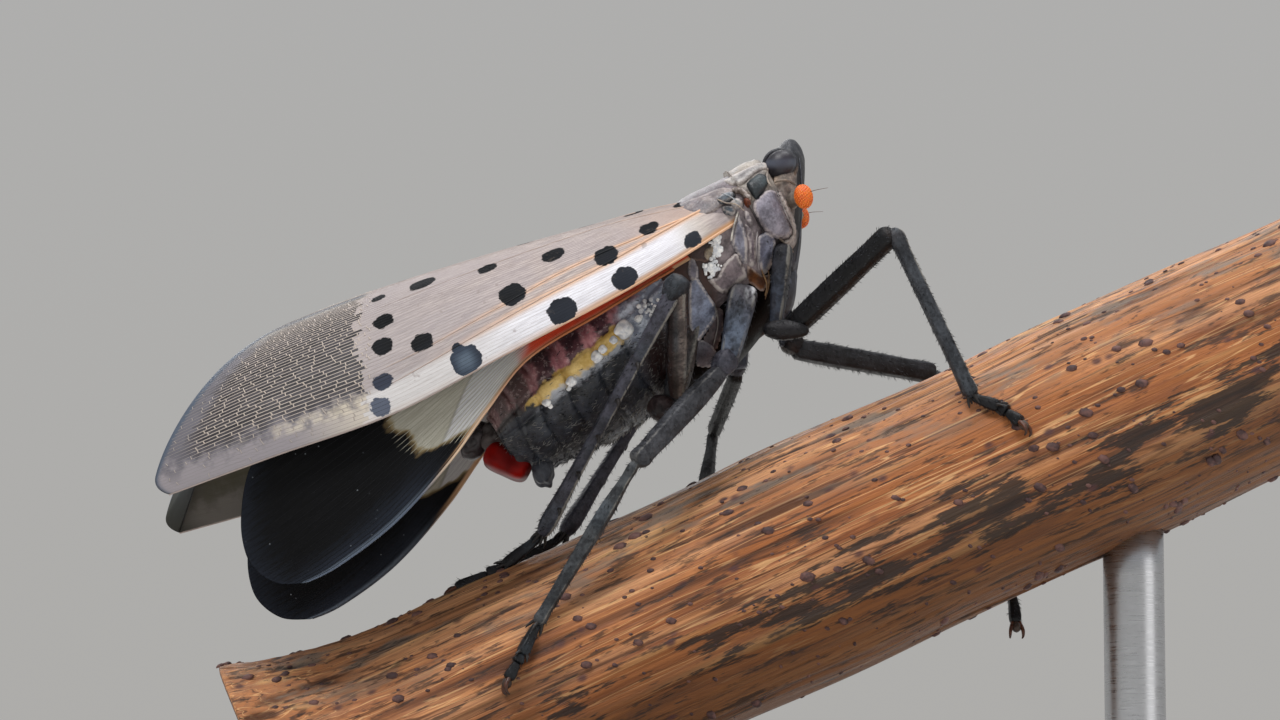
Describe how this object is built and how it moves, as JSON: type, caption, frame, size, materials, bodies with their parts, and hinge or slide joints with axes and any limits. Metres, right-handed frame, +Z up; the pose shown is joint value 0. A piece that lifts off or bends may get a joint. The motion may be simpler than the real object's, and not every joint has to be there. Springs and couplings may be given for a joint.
{
  "type": "spotted lanternfly model on a perch and stand",
  "caption": "Life-size adult spotted lanternfly, wings folded like a roof, gripping a short cut length of dry stem that two rods hold over a flat display base.",
  "frame": {"origin": "centre of the underside of the display base", "axes": "+Z up; +X the way the insect faces along the perch; +Y to the insect's left"},
  "size_m": [0.0442, 0.024, 0.0373],
  "materials": {
    "wing": "pinkish grey-tan leathery forewing with black spots and a fine net of pale veins at the tip",
    "hindwing": "thin hindwing, red at the base, pale across the middle, black at the tip",
    "head": "dull grey-black horny head with a paler cheek",
    "eye": "dark glossy compound eye",
    "antenna": "orange grained bulb on a grey-brown stalk",
    "pronotum": "tan collar with a dark side patch",
    "thorax": "grey-brown plates with pale rims and a little white wax",
    "abdomen": "maroon and pink bands, a yellow side band, dark waxy plates below",
    "genital": "smooth deep red lobe",
    "leg": "black, finely haired, with worn grey ridges",
    "stem": "dry orange-brown fibrous stem with dark specks and mould",
    "base": "dark satin hardwood",
    "rod": "plain brushed steel"
  },
  "bodies": {
    "root": {"stand_rod_front": "rod", "stand_rod_rear": "rod", "perch_stem": "stem", "stand_base": "base", "tegmen_right": "wing", "hindwing_right": "hindwing", "eye_right": "eye", "antenna_right": "antenna", "tegula_right": "thorax", "tegmen_left": "wing", "hindwing_left": "hindwing", "eye_left": "eye", "antenna_left": "antenna", "tegula_left": "thorax", "head": "head", "clypeus": "head", "pronotum": "pronotum", "thorax": "thorax", "abdomen": "abdomen", "genital_lobe": "genital", "anal_lobe": "abdomen", "rostrum": "leg", "leg_front_right_coxa": "leg", "leg_front_right_femur": "leg", "leg_front_right_tibia": "leg", "leg_front_right_tarsus": "leg", "leg_front_left_coxa": "leg", "leg_front_left_femur": "leg", "leg_front_left_tibia": "leg", "leg_front_left_tarsus": "leg", "leg_mid_right_coxa": "leg", "leg_mid_right_femur": "leg", "leg_mid_right_tibia": "leg", "leg_mid_right_tarsus": "leg", "leg_mid_left_coxa": "leg", "leg_mid_left_femur": "leg", "leg_mid_left_tibia": "leg", "leg_mid_left_tarsus": "leg", "leg_hind_right_coxa": "leg", "leg_hind_right_femur": "leg", "leg_hind_right_tibia": "leg", "leg_hind_right_tarsus": "leg", "leg_hind_left_coxa": "leg", "leg_hind_left_femur": "leg", "leg_hind_left_tibia": "leg", "leg_hind_left_tarsus": "leg"}
  },
  "joints": []
}
